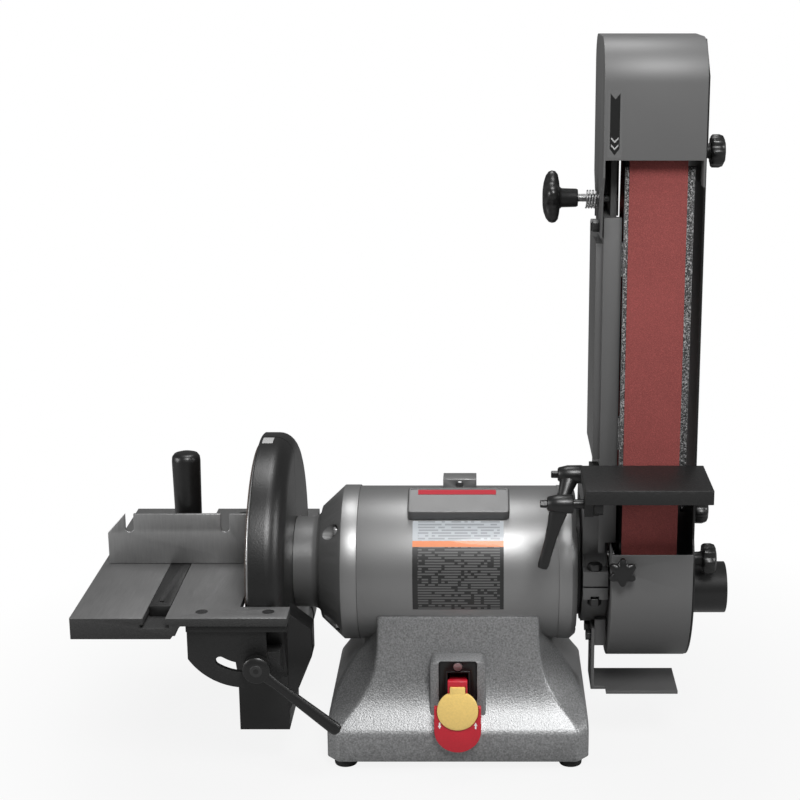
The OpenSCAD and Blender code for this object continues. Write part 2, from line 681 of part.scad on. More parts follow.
module top_door_knob() color("black") up() door_knob(door_knob_at[0]);
module middle_door_knob() color("black") up() door_knob(door_knob_at[1]);
module lower_door_knob() color("black") up() door_knob(door_knob_at[2]);
module belt_dust_port() color("black") up() difference() {
    union() {
        xcyl(door_x + sheet, 251, 24, port2_y, port2_z);
        xcyl(door_x + sheet, door_x + sheet + 2, 27, port2_y, port2_z);
    }
    xcyl(door_x, 252, 22, port2_y, port2_z);
}

// ---- belt table ----
slide_y = -50;
slide_z = 103;
table2_back = run_y - 3.2;
link_x0 = 121.4;
module belt_table() color("black") up() difference() {
    union() {
        block([table2_x, table2_back - belt_table_depth, table2_z - table2_t], [table2_x + belt_table_w, table2_back, table2_z]);
        block([113, pivot2_y - 10, pivot2_z - 9], [121, pivot2_y + 10, table2_z - table2_t]);
    }
    xcyl(100, 122, 4 + run, pivot2_y, pivot2_z);
}

module table_bracket() color("black") up() difference() {
    union() {
        xcyl(link_x0, arm_x - gap, 10, pivot2_y, pivot2_z);
        side_plate(link_x0, arm_x - gap) polygon([[pivot2_y, 86], [pivot2_y, 104], [-74, 104], [-68, 112], [-38, 112], [-38, 92], [-60, 88]]);
    }
    xcyl(120, 131, 4 + run, pivot2_y, pivot2_z);
    // slot for moving the table off the belt
    xcyl(120, 131, 4 + run, slide_y, slide_z);
    xcyl(120, 131, 4 + run, slide_y + 8, slide_z);
    block([120, slide_y, slide_z - 4 - run], [131, slide_y + 8, slide_z + 4 + run]);
}
// A clamping lever on an X axis: hub, bolt and an arm that hangs down and to the left
module clamp_lever(hub_x, bolt_end, arm_len, y, z) {
    xcyl(hub_x, hub_x + 12, 6.5, y, z, 8.6);
    xcyl(hub_x + 12, hub_x + 24, 8.6, y, z);
    xcyl(hub_x - 6, bolt_end, 4, y, z);
    front_plate(y - 4, y + 4) translate([hub_x + 12, z]) polygon([[-9, -3], [9, -3], [-10, -arm_len], [-20, -arm_len + 2]]);
}

module tilt_lever() color("black") up() {
    clamp_lever(80, 130, 61, pivot2_y, pivot2_z);
    xcyl(104, 112.6, 7.5, pivot2_y, pivot2_z);
}

module slide_lever() color("black") up() translate([0, slide_y, slide_z]) rotate([-35, 0, 0]) {
    clamp_lever(92, arm_x + 6, 50, 0, 0);
    xcyl(116, link_x0 - gap, 7.5);
}
shelf_z = -112;
module spark_shelf() color("gray") up() difference() {
    union() {
        block([126, -59, shelf_z], [208, -5, shelf_z + 3]);
        block([126, -48, shelf_z], [129, -5, -50]);
    }
    block([120, -70, shelf_z - e], [140, -48, shelf_z + 4]);
    for (y = [-38, -14]) xcyl(120, 130, 3, y, -60);
}

base_casting();
rubber_feet();
bottom_plate();
motor_shell();
left_end_bell();
right_end_bell();
tie_bolts();
stator();
rotor();
motor_shaft();
motor_bearings();
name_plate();
rating_label();
cable_bracket();
inlet_gland();
switch_plate();
switch_box();
switch_screws();
switch_paddle();
safety_key();
guard_front();
guard_rear();
disc_plate();
abrasive_disc();
disc_bolt();
dust_chute();
disc_table();
table_trunnion();
table_screws();
trunnion_bracket();
lock_bolt();
lock_lever();
mitre_bar();
mitre_fence();
mitre_handle();
mount_hub();
arm_casting();
arm_bolts();
cover_knob();
drive_wheel();
idler_wheel();
idler_axle();
idler_bracket();
tension_spring();
tracking_knob();
tracking_spring();
sanding_belt();
platen();
top_cover();
lower_cover();
side_door();
top_door_knob();
middle_door_knob();
lower_door_knob();
belt_dust_port();
belt_table();
table_bracket();
tilt_lever();
slide_lever();
spark_shelf();
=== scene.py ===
import math
import json
import bpy
import bmesh
from mathutils import Matrix, Vector


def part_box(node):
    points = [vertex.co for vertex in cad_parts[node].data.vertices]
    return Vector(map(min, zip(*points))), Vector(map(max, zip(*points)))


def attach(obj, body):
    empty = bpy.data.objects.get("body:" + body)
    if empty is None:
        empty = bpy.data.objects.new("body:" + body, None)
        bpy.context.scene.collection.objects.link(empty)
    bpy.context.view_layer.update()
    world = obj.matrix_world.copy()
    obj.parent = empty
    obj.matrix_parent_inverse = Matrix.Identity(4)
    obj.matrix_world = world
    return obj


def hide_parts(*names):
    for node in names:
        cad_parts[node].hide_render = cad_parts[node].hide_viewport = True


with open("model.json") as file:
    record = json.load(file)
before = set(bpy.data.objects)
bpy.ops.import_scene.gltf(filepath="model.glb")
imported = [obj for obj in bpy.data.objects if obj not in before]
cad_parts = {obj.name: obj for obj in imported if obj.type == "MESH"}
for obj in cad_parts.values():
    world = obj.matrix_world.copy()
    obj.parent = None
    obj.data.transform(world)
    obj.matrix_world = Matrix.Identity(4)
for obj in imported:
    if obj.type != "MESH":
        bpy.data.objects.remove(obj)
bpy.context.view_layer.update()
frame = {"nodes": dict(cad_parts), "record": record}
scene = bpy.context.scene
nodes = frame["nodes"]
bodyOf = {n: b for b, names in frame["record"]["behaviour"]["bodies"].items() for n in names}
slotOf = {s["node"]: s["material_slot"] for s in frame["record"]["subparts"]}
mm = 0.001

# camera, floor and lights
camera = {"place": (0.025, -1.5314, 0.7297), "pitch": 14.6, "lens": 75.6, "shiftX": -0.106, "shiftY": 0.0}
cam = bpy.data.objects.new("camera", bpy.data.cameras.new("camera"))
scene.collection.objects.link(cam)
cam.location = camera["place"]
cam.rotation_euler = (math.radians(90 - camera["pitch"]), 0, 0)
cam.data.lens = camera["lens"]
cam.data.sensor_width = 36
cam.data.shift_x = camera["shiftX"]
cam.data.shift_y = camera["shiftY"]
cam.data.clip_start = 0.05
scene.camera = cam
scene.view_settings.view_transform = "Standard"


# shader maths
class Sig:
    """A socket with operators"""
    def __init__(self, mat, socket):
        self.mat = mat
        self.socket = socket

    def maths(self, op, *others, clamp=False):
        n = self.mat.tree.nodes.new("ShaderNodeMath")
        n.operation = op
        n.use_clamp = clamp
        for i, v in enumerate((self,) + others):
            self.mat.feed(n.inputs[i], v)
        return Sig(self.mat, n.outputs[0])

    def __add__(self, o): return self.maths("ADD", o)
    def __radd__(self, o): return self.maths("ADD", o)
    def __sub__(self, o): return self.maths("SUBTRACT", o)
    def __rsub__(self, o): return (self * -1).maths("ADD", o)
    def __mul__(self, o): return self.maths("MULTIPLY", o)
    def __rmul__(self, o): return self.maths("MULTIPLY", o)
    def __gt__(self, o): return self.maths("GREATER_THAN", o)
    def __lt__(self, o): return self.maths("LESS_THAN", o)

    def clip(self): return self.maths("ADD", 0.0, clamp=True)
    def both(self, o): return self.maths("MULTIPLY", o)
    def size(self): return self.maths("ABSOLUTE")


class Finish:
    # one material: node() makes any node, feed() sets a socket from a value or a link
    def __init__(self, name, **shader):
        self.mat = bpy.data.materials.new(name)
        self.mat.use_nodes = True
        self.tree = self.mat.node_tree
        self.shader = self.tree.nodes["Principled BSDF"]
        for key, v in shader.items():
            self.feed(self.shader.inputs[key.replace("_", " ")], v)
        self.place = self.node("ShaderNodeTexCoord").outputs["Object"]

    def feed(self, socket, v):
        if isinstance(v, Sig):
            v = v.socket
        if isinstance(v, bpy.types.NodeSocket):
            self.tree.links.new(v, socket)
        elif isinstance(v, (tuple, list)) and len(v) == 3 and socket.type == "RGBA":
            socket.default_value = (*v, 1)
        else:
            socket.default_value = v

    def node(self, kind, sockets=None, **settings):
        n = self.tree.nodes.new(kind)
        for k, v in settings.items():
            if k == "stops":
                ramp = n.color_ramp
                while len(ramp.elements) < len(v):
                    ramp.elements.new(0.5)
                for el, (at, c) in zip(ramp.elements, v):
                    el.position = at
                    el.color = (*c, 1) if isinstance(c, tuple) else (c, c, c, 1)
            else:
                setattr(n, k, v)
        for k, v in (sockets or {}).items():
            self.feed(n.inputs[k], v)
        return n

    def noise(self, scale, detail=2.0, stretch=None, rough=0.5):
        where = self.place
        if stretch:
            where = self.node("ShaderNodeMapping", {"Vector": where, "Scale": stretch}).outputs[0]
        n = self.node("ShaderNodeTexNoise",
                      {"Vector": where, "Scale": scale, "Detail": detail, "Roughness": rough})
        return Sig(self, n.outputs["Fac"])

    def cells(self, scale):
        n = self.node("ShaderNodeTexVoronoi", {"Vector": self.place, "Scale": scale})
        return Sig(self, n.outputs["Distance"])

    def ramp(self, sig, stops):
        return self.node("ShaderNodeValToRGB", {"Fac": sig}, stops=stops).outputs[0]

    def mix(self, fac, a, b):
        n = self.node("ShaderNodeMix", data_type="RGBA")
        self.feed(n.inputs[0], fac)
        self.feed(n.inputs[6], a)
        self.feed(n.inputs[7], b)
        return n.outputs[2]

    def axis(self, name):
        return Sig(self, self.node("ShaderNodeSeparateXYZ", {"Vector": self.place}).outputs[name])

    def bump(self, height, strength, distance):
        n = self.node("ShaderNodeBump", {"Strength": strength, "Distance": distance, "Height": height})
        self.feed(self.shader.inputs["Normal"], n.outputs[0])
        return self

    def set(self, **shader):
        for key, v in shader.items():
            self.feed(self.shader.inputs[key.replace("_", " ")], v)
        return self


def grey(v, tint=0.0):
    return (v * (1 - tint), v, v * (1 + tint))


# finishes
finish = {}


def hammertone():
    f = Finish("hammertone", Metallic=0.55)
    lumps = f.noise(640, 3)
    f.set(Base_Color=f.ramp(lumps, [(0.3, grey(0.17, 0.01)), (0.5, grey(0.245, 0.01)),
                                    (0.72, grey(0.33, 0.01))]))
    f.set(Roughness=0.3 + 0.22 * lumps)
    f.bump(lumps + 0.4 * f.noise(900, 2), 0.5, 0.0004)
    return f


def satin(name, value, metallic, rough, grain):
    f = Finish(name, Metallic=metallic)
    speck = f.noise(1500, 2)
    broad = f.noise(9, 3)
    f.set(Base_Color=f.mix(0.5 * speck + 0.5 * broad, grey(value * 0.92), grey(value * 1.08)))
    f.set(Roughness=rough - 0.04 + 0.08 * broad)
    f.bump(speck, grain, 0.0002)
    return f


def blackPaint(name, value, rough, scale, depth):
    f = Finish(name, Metallic=0.0)
    lumps = f.noise(scale, 3)
    f.set(Base_Color=f.mix(lumps, grey(value * 0.75), grey(value * 1.35)))
    f.set(Roughness=rough - 0.06 + 0.14 * lumps)
    f.bump(lumps, 0.6, depth)
    return f


def steel(name, value, rough, stretch):
    f = Finish(name, Metallic=1.0)
    brushed = f.noise(60, 3, stretch)
    f.set(Base_Color=f.mix(brushed, grey(value * 0.8), grey(value * 1.1)))
    f.set(Roughness=rough - 0.05 + 0.16 * brushed)
    f.bump(brushed, 0.12, 0.0001)
    return f


def grit(name, dark, light, scale, depth, rough):
    f = Finish(name)
    grains = f.cells(scale)
    patch = f.noise(18, 3)
    f.set(Base_Color=f.mix((grains * 1.2 + 0.35 * patch - 0.15).clip(), dark, light))
    f.set(Roughness=rough)
    f.bump(grains, 0.7, depth)
    return f


def tableIron():
    # ground bright on the top, black and rough everywhere else
    f = Finish("tableIron")
    upward = f.axis("Z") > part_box("disc_table")[1].z - 0.0007
    ground = f.noise(40, 4, (14.0, 1.0, 1.0))
    rough = f.noise(900, 3)
    plain = f.mix(ground, grey(0.125), grey(0.18))
    edge = f.mix(rough, grey(0.006), grey(0.035))
    f.set(Base_Color=f.mix(upward, edge, plain))
    f.set(Metallic=0.6 * upward, Roughness=0.62 - 0.2 * upward + 0.1 * ground)
    f.bump(rough * (1 - upward) + 0.05 * ground, 0.7, 0.0006)
    return f


def platenIron():
    f = Finish("platenIron", Metallic=0.3)
    chips = f.noise(850, 4, None, 0.8)
    f.set(Base_Color=f.ramp(chips, [(0.42, grey(0.02)), (0.52, grey(0.09)), (0.6, grey(0.55))]))
    f.set(Roughness=0.45 + 0.3 * chips)
    f.bump(chips, 1.0, 0.001)
    return f


def plainPlastic(name, colour, rough, scale=500, coat=0.0):
    f = Finish(name)
    fine = f.noise(scale, 2)
    dark = tuple(c * 0.85 for c in colour)
    light = tuple(min(1, c * 1.12) for c in colour)
    f.set(Base_Color=f.mix(fine, dark, light), Roughness=rough - 0.05 + 0.1 * fine)
    if coat:
        f.set(Coat_Weight=coat)
    f.bump(fine, 0.15, 0.0002)
    return f


def ratingLabel():
    # printed film: pale top, a band, a dark field with rows of small marks
    f = Finish("ratingLabel")
    x, y, z = (f.axis(a) for a in "XYZ")
    film = {"lean": (0.9677, 0.2521), "topY": 0.62, "rows": 400, "words": 330, "margin": 0.038,
            "middle": 0.001,
            "band": 0.0180, "dark": 0.0235}
    v = z * film["lean"][0] + y * film["lean"][1]       # height as seen from the front
    lo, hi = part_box("rating_label")
    top = hi.z * film["lean"][0] + (lo.y * film["topY"]) * film["lean"][1]
    row = v * film["rows"]
    cell = f.node("ShaderNodeCombineXYZ", {"X": (x * film["words"]).maths("FLOOR"), "Y": row.maths("FLOOR")})
    word = Sig(f, f.node("ShaderNodeTexWhiteNoise", {"Vector": Sig(f, cell.outputs[0])}).outputs["Value"])
    marks = (row.maths("FRACT") > 0.42).both(word > 0.22).both((x - film["middle"]).size() < film["margin"])
    paper = f.mix(marks.both(0.5), grey(0.40, 0.06), grey(0.12, 0.05))
    field = f.mix(marks.both(0.6), grey(0.012), grey(0.14))
    lower = f.mix((v < top - film["dark"]), (0.62, 0.17, 0.04), field)
    f.set(Base_Color=f.mix((v < top - film["band"]), paper, lower), Roughness=0.42, Coat_Weight=0.15)
    return f


finish["hammertone"] = hammertone()
finish["motorPaint"] = satin("motorPaint", 0.27, 0.75, 0.42, 0.25)
finish["coverPaint"] = satin("coverPaint", 0.115, 0.25, 0.5, 0.3)
finish["castGrey"] = satin("castGrey", 0.12, 0.5, 0.48, 0.8)
finish["blackPaint"] = blackPaint("blackPaint", 0.006, 0.36, 700, 0.0002)
finish["blackCast"] = blackPaint("blackCast", 0.007, 0.5, 520, 0.0007)
finish["blackPlastic"] = plainPlastic("blackPlastic", (0.006, 0.006, 0.006), 0.36)
finish["steel"] = steel("steel", 0.5, 0.3, (1.0, 8.0, 8.0))
finish["fenceSteel"] = steel("fenceSteel", 0.33, 0.48, (12.0, 1.0, 1.0))
finish["darkSteel"] = steel("darkSteel", 0.08, 0.42, (1.0, 6.0, 1.0))
finish["aluminium"] = steel("aluminium", 0.7, 0.28, (6.0, 1.0, 1.0))
finish["rubber"] = plainPlastic("rubber", (0.014, 0.014, 0.014), 0.72)
finish["discGrit"] = grit("discGrit", (0.02, 0.016, 0.013), (0.09, 0.07, 0.06), 1300, 0.0004, 0.85)
finish["beltGrit"] = grit("beltGrit", (0.10, 0.017, 0.015), (0.27, 0.055, 0.05), 1500, 0.0003, 0.8)
finish["platenIron"] = platenIron()
finish["tableIron"] = tableIron()
finish["red"] = plainPlastic("red", (0.46, 0.006, 0.02), 0.34, coat=0.3)
finish["yellow"] = plainPlastic("yellow", (0.80, 0.56, 0.17), 0.3, coat=0.4)
finish["label"] = ratingLabel()
finish["copper"] = plainPlastic("copper", (0.35, 0.12, 0.05), 0.4)
finish["redInk"] = plainPlastic("redInk", (0.33, 0.004, 0.016), 0.7)
finish["filmDark"] = plainPlastic("filmDark", (0.10, 0.10, 0.10), 0.5)
finish["plateGrey"] = steel("plateGrey", 0.17, 0.5, (1.0, 1.0, 1.0))
finish["filmGrey"] = plainPlastic("filmGrey", (0.34, 0.34, 0.34), 0.5)
finish["white"] = plainPlastic("white", (0.75, 0.75, 0.75), 0.5)

bySlot = {"base_paint": "hammertone", "motor_paint": "motorPaint", "cover_paint": "coverPaint",
          "black_paint": "blackPaint", "table_iron": "tableIron", "black_plastic": "blackPlastic",
          "steel": "steel", "dark_steel": "darkSteel",
          "aluminium": "aluminium", "rubber": "rubber", "wheel_rubber": "rubber", "disc_abrasive": "discGrit",
          "belt_abrasive": "beltGrit", "platen_iron": "platenIron", "label": "label", "red_plastic": "red",
          "yellow_plastic": "yellow", "stator_iron": "copper"}
byNode = {"mitre_fence": "fenceSteel", "name_plate": "motorPaint", "arm_casting": "castGrey",
          "idler_bracket": "castGrey", "spark_shelf": "castGrey", "belt_table": "blackCast",
          "table_trunnion": "blackCast",
          "trunnion_bracket": "blackCast", "mount_hub": "blackCast"}
for name, obj in nodes.items():
    obj.data.materials.clear()
    obj.data.materials.append(finish[byNode.get(name, bySlot[slotOf[name]])].mat)
print("finishes made")


# helpers for pieces
def place(name, mesh, node, finishName=None, replaced=True):
    # a finished mesh becomes a piece that rides with its node's body
    obj = bpy.data.objects.new(name, mesh)
    scene.collection.objects.link(obj)
    if finishName or not mesh.materials:
        mesh.materials.clear()
        mesh.materials.append(finish[finishName or byNode.get(node, bySlot[slotOf[node]])].mat)
    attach(obj, bodyOf[node])
    if replaced:
        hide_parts(node)
    return obj


def smooth(mesh, angle=35):
    mesh.shade_smooth()
    mesh.set_sharp_from_angle(angle=math.radians(angle))
    return mesh


def meshFrom(bm, name, angle=35):
    mesh = bpy.data.meshes.new(name)
    bm.to_mesh(mesh)
    bm.free()
    return smooth(mesh, angle)


def roundEdges(bm, width, segments=2, sharp=30):
    limit = math.radians(sharp)
    edges = [ed for ed in bm.edges if len(ed.link_faces) == 2 and ed.calc_face_angle(0) > limit]
    bmesh.ops.bevel(bm, geom=edges, offset=width, segments=segments, profile=0.5, affect="EDGES",
                    clamp_overlap=True)


def softened(node, width, segments=2, sharp=30, finishName=None):
    # the node's own shape with its loose triangles joined and its edges rounded
    bm = bmesh.new()
    bm.from_mesh(nodes[node].data)
    bmesh.ops.remove_doubles(bm, verts=bm.verts, dist=1e-6)
    bmesh.ops.dissolve_limit(bm, angle_limit=math.radians(0.6), verts=bm.verts, edges=bm.edges)
    roundEdges(bm, width * mm, segments, sharp)
    return place(node + "_soft", meshFrom(bm, node), node, finishName)


def lathe(profile, centre, axis="X", steps=72, arc=(0, 360)):
    # profile is a list of (along, radius) in mm; closed when it starts and ends at radius 0 or repeats
    bm = bmesh.new()
    full = arc[1] - arc[0] == 360
    count = steps if full else steps + 1
    rings = []
    for along, r in profile:
        ring = []
        for i in range(count):
            a = math.radians(arc[0] + (arc[1] - arc[0]) * i / steps)
            p = Vector((along, r * math.cos(a), r * math.sin(a)))
            if axis == "Y":
                p = Vector((p.z, p.x, p.y))
            if axis == "Z":
                p = Vector((p.y, p.z, p.x))
            ring.append(bm.verts.new((p + Vector(centre)) * mm))
        rings.append(ring)
    for one, two in zip(rings, rings[1:]):
        for i in range(count if full else steps):
            j = (i + 1) % count
            bm.faces.new((one[i], one[j], two[j], two[i]))
    bmesh.ops.remove_doubles(bm, verts=bm.verts, dist=1e-6)
    return bm


def closed(bm):
    # caps open ends and turns every face outwards
    edges = [ed for ed in bm.edges if len(ed.link_faces) == 1]
    if edges:
        bmesh.ops.holes_fill(bm, edges=edges, sides=0)
    bmesh.ops.recalc_face_normals(bm, faces=bm.faces)
    return bm


def corner(points, radius, steps=5):
    # rounds each corner of a closed outline in 2D; radius is one number or one for each point
    out = []
    n = len(points)
    for i, p in enumerate(points):
        r = radius[i] if isinstance(radius, (list, tuple)) else radius
        p = Vector(p)
        a = Vector(points[i - 1]) - p
        b = Vector(points[(i + 1) % n]) - p
        half = a.angle(b) / 2
        cut = min(r / math.tan(half), a.length * 0.49, b.length * 0.49) if r > 0 else 0
        if cut < 1e-6:
            out.append(p)
            continue
        a, b = p + a.normalized() * cut, p + b.normalized() * cut
        for k in range(steps + 1):
            t = k / steps
            out.append(a * (1 - t) ** 2 + p * 2 * t * (1 - t) + b * t * t)
    return out


def slab(outline, low, high, plane, edge=0.0, segments=2):
    # an outline pushed from low to high; plane names the outline's two axes
    order = {"YZ": lambda u, v, w: (w, u, v), "XZ": lambda u, v, w: (u, w, v),
             "XY": lambda u, v, w: (u, v, w)}[plane]
    bm = bmesh.new()
    ends = [[bm.verts.new(Vector(order(p[0], p[1], w)) * mm) for p in outline] for w in (low, high)]
    bm.faces.new(ends[0])
    bm.faces.new(ends[1])
    n = len(outline)
    for i in range(n):
        bm.faces.new((ends[0][i], ends[0][(i + 1) % n], ends[1][(i + 1) % n], ends[1][i]))
    bmesh.ops.recalc_face_normals(bm, faces=bm.faces)
    if edge:
        rim = [ed for ed in bm.edges if len(ed.link_faces) == 2 and ed.calc_face_angle(0) > math.radians(50)]
        bmesh.ops.bevel(bm, geom=rim, offset=edge * mm, segments=segments, profile=0.5,
                        affect="EDGES", clamp_overlap=True)
    return bm


def joined(*parts):
    bm = bmesh.new()
    for part in parts:
        mesh = bpy.data.meshes.new("part")
        part.to_mesh(mesh)
        part.free()
        bm.from_mesh(mesh)
        bpy.data.meshes.remove(mesh)
    return bm


def turned(bm, angle, axis, centre):
    c = Vector(centre) * mm
    turn = Matrix.Translation(c) @ Matrix.Rotation(math.radians(angle), 4, axis) @ Matrix.Translation(-c)
    bmesh.ops.transform(bm, matrix=turn, verts=bm.verts)
    return bm


motorZ = 170.0
lo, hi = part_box("motor_shell")
motorZ = (lo.z + hi.z) / 2 / mm

# carried-over shapes with rounded edges
softEdges = {
    "disc_table": 0.9, "belt_table": 1.3, "table_trunnion": 0.8, "trunnion_bracket": 0.8, "lock_bolt": 0.5,
    "mitre_bar": 0.5, "mitre_fence": 0.5, "arm_casting": 1.6, "arm_bolts": 0.6, "top_cover": 0.5,
    "lower_cover": 0.5,
    "side_door": 0.5, "spark_shelf": 0.5, "belt_dust_port": 0.6, "table_bracket": 0.7, "mount_hub": 0.8,
    "platen": 0.4, "switch_plate": 0.6, "switch_box": 0.4, "cable_bracket": 0.8, "tie_bolts": 0.4,
    "idler_bracket": 0.7,
    "drive_wheel": 1.0, "idler_wheel": 1.0, "left_end_bell": 1.2, "right_end_bell": 1.2,
    "motor_shell": 0.5, "disc_plate": 0.7, "rubber_feet": 1.0, "inlet_gland": 0.8, "table_screws": 0.3,
}
for name, width in softEdges.items():
    softened(name, width)
print("edges rounded")


# base casting, guard and disc
def carve(bm, cutters, operation="DIFFERENCE"):
    # one solid after another is added to or cut from the first
    mesh = bpy.data.meshes.new("work")
    bm.to_mesh(mesh)
    bm.free()
    work = bpy.data.objects.new("work", mesh)
    scene.collection.objects.link(work)
    tools = []
    for cutter in cutters:
        toolMesh = bpy.data.meshes.new("tool")
        cutter.to_mesh(toolMesh)
        cutter.free()
        tool = bpy.data.objects.new("tool", toolMesh)
        scene.collection.objects.link(tool)
        tools.append(tool)
        cut = work.modifiers.new("cut", "BOOLEAN")
        cut.operation = operation
        cut.solver = "EXACT"
        cut.object = tool
    bpy.context.view_layer.update()
    result = bpy.data.meshes.new_from_object(work.evaluated_get(bpy.context.evaluated_depsgraph_get()))
    for used in [work] + tools:
        bpy.data.objects.remove(used)
    out = bmesh.new()
    out.from_mesh(result)
    bpy.data.meshes.remove(result)
    return out


def stack(rings):
    # closed rings of points in mm, one above the other, made into one solid
    bm = bmesh.new()
    loops = [[bm.verts.new(Vector(p) * mm) for p in ring] for ring in rings]
    for one, two in zip(loops, loops[1:]):
        for i in range(len(one)):
            j = (i + 1) % len(one)
            bm.faces.new((one[i], one[j], two[j], two[i]))
    return closed(bm)


def box(low, high, radius=0.0, plane="XZ", edge=0.0):
    # a block with its four corners in one plane rounded
    ax = {"X": 0, "Y": 1, "Z": 2}
    u, v = (ax[c] for c in plane)
    w = 3 - u - v
    outline = [(low[u], low[v]), (high[u], low[v]), (high[u], high[v]), (low[u], high[v])]
    return slab(corner(outline, radius) if radius else outline, low[w], high[w], plane, edge)


base = {"sections": [  # height, front corner, half width, half depth, half width of the flank, corner radii
            (9, 111, 121.6, 101.6, 90, 5, 8), (10, 112, 122.4, 102.4, 91, 5, 8),
            (33, 112, 122.4, 102.3, 90, 5, 8),
            (37, 112, 122.3, 101.2, 88, 5, 9), (41, 110.5, 122.1, 98.6, 84, 5, 10),
            (46, 106.5, 121.5, 94.2, 77, 5, 12),
            (52, 100.8, 120, 89.4, 68, 6, 14), (58, 95, 117.8, 85.2, 59, 6, 16),
            (66, 88.5, 113.8, 80.8, 50, 6, 18),
            (77, 82, 107.2, 76.4, 42, 6, 20), (90, 78.2, 97.6, 73, 36, 6, 20),
            (104, 76.4, 87.4, 70.8, 36, 5, 16),
            (116, 76, 80.6, 69.7, 42, 4, 9), (128, 75.9, 77.2, 69.2, 50, 4, 5),
            (137, 75.9, 76.4, 69, 55, 4, 4),
            (139.2, 75.2, 75.7, 68.3, 55, 4, 4), (139.9, 73.9, 74.4, 67, 55, 4, 4)],
        "frame": ((-26, -90.5, 27), (26, -60, 104.5)), "frameRound": 6,
        "pocket": ((-17.9, -95, 27.7), (17.9, -84.1, 104.2)), "pocketRound": 2.5,
        "box": ((-12, -95, 47.7), (12, -50, 93.8)), "boxRound": 1, "saddle": 73.2}


def baseRing(z, front, a, b, flank, frontRound, flankRound):
    outline = [(-front, -b), (front, -b), (a, -flank), (a, flank), (front, b), (-front, b), (-a, flank),
               (-a, -flank)]
    radii = [frontRound, frontRound, flankRound, flankRound] * 2
    bends = corner([Vector(p) for p in outline], radii, 7)
    ring = []
    for i, p in enumerate(bends):
        ring.append((p[0], p[1], z))
        if i % 8 == 7:  # the straight run to the next corner
            after = bends[(i + 1) % len(bends)]
            ring += [(*(p + (after - p) * k / 14), z) for k in range(1, 14)]
    return ring


def switchHoles():
    return [box(*base["pocket"], base["pocketRound"]), box(*base["box"], base["boxRound"])]


loft = stack([baseRing(*row) for row in base["sections"]])
saddle = closed(lathe([(-130, base["saddle"]), (130, base["saddle"])], (0, 0, motorZ), steps=96))
place("base_body", meshFrom(carve(loft, [saddle] + switchHoles()), "base_body", 40), "base_casting")
raised = carve(box(*base["frame"], base["frameRound"], edge=2.2), switchHoles())
place("switch_frame", meshFrom(raised, "switch_frame", 40), "base_casting", replaced=False)

guard = {"x0": -187, "x1": -156, "r": 124.6, "wall": 3.6, "bore": 34.2, "low": -12, "round": (17, 20)}
bend = [(guard["x1"] - guard["round"][0] * (1 - math.sin(t)),
         guard["r"] - guard["round"][1] * (1 - math.cos(t)))
        for t in [math.pi / 2 * k / 8 for k in range(9)]]
inner = [(x - guard["wall"] * 0.8, r - guard["wall"]) for x, r in bend]
ring = ([(guard["x0"], guard["r"] - 1), (guard["x0"] + 1, guard["r"])] + bend
        + [(guard["x1"], guard["bore"]), (guard["x1"] - 3, guard["bore"])] + inner[::-1]
        + [(guard["x0"] + 1, guard["r"] - guard["wall"]), (guard["x0"], guard["r"] - guard["wall"] + 0.6),
           (guard["x0"], guard["r"] - 1)])
for node, arc in {"guard_front": (90.25, 200), "guard_rear": (-20, 89.75)}.items():
    half = closed(lathe(ring, (0, 0, motorZ), steps=72, arc=arc))
    bmesh.ops.bisect_plane(half, geom=half.verts[:] + half.edges[:] + half.faces[:], plane_no=(0, 0, 1),
                           plane_co=Vector((0, 0, motorZ + guard["low"])) * mm, clear_inner=True)
    place(node + "_shell", meshFrom(closed(half), node, 40), node)
print("base and guard made")


# knobs and levers
def lobed(profile, centre, lobes, dent, steps=140, axis="X"):
    # a turned solid whose rim waves in and out; profile is (along, radius, share of the wave)
    rings = []
    for along, r, share in profile:
        ring = []
        for i in range(steps):
            a = 2 * math.pi * i / steps
            wave = r * (1 - dent * share * (0.5 - 0.5 * math.cos(lobes * a)))
            p = (along, wave * math.sin(a), wave * math.cos(a))
            p = p if axis == "X" else (p[1], p[0], p[2])
            ring.append(Vector(p) + Vector(centre))
        rings.append(ring)
    return stack(rings)


def rod(start, end, profile, flat=1.0, steps=28):
    # a tapered bar from start to end; profile is (share of the length, radius); flat thins it along Y
    start, end = Vector(start), Vector(end)
    along = (end - start).normalized()
    side = along.cross(Vector((0, 1, 0))).normalized()
    rings = []
    for share, r in profile:
        c = start + (end - start) * share
        turns = [2 * math.pi * i / steps for i in range(steps)]
        rings.append([c + side * r * math.cos(t) + Vector((0, 1, 0)) * flat * r * math.sin(t) for t in turns])
    return stack(rings)


def span(node):
    low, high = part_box(node)
    return low / mm, high / mm


doorKnob = {"reach": 23.4, "lobes": 8, "dent": 0.13,
            "grip": [(0, 6.2, 0), (8, 6.5, 0), (10.3, 7.5, 0), (10.6, 13.4, 0.6), (12, 14.8, 1),
                     (17.9, 14.9, 1),
                     (21.4, 13.6, 1), (23, 10.4, 0.7), (23.4, 7.5, 0), (23.1, 2, 0)],
            "stem": [(0, 2.4), (0.5, 2.9)], "stemEnd": (1, 2.9)}
for node in ("top_door_knob", "middle_door_knob", "lower_door_knob"):
    low, high = span(node)
    mid = (low + high) / 2
    x0 = high.x - doorKnob["reach"]
    rings = [(x0 + a, r, w) for a, r, w in doorKnob["grip"]]
    knob = lobed(rings, (0, mid.y, mid.z), doorKnob["lobes"], doorKnob["dent"])
    stem = ([(low.x + a, r) for a, r in doorKnob["stem"]]
            + [(x0 + doorKnob["stemEnd"][0], doorKnob["stemEnd"][1])])
    stem = closed(lathe(stem, (0, mid.y, mid.z), steps=24))
    place(node + "_grip", meshFrom(joined(knob, stem), node, 40), node)

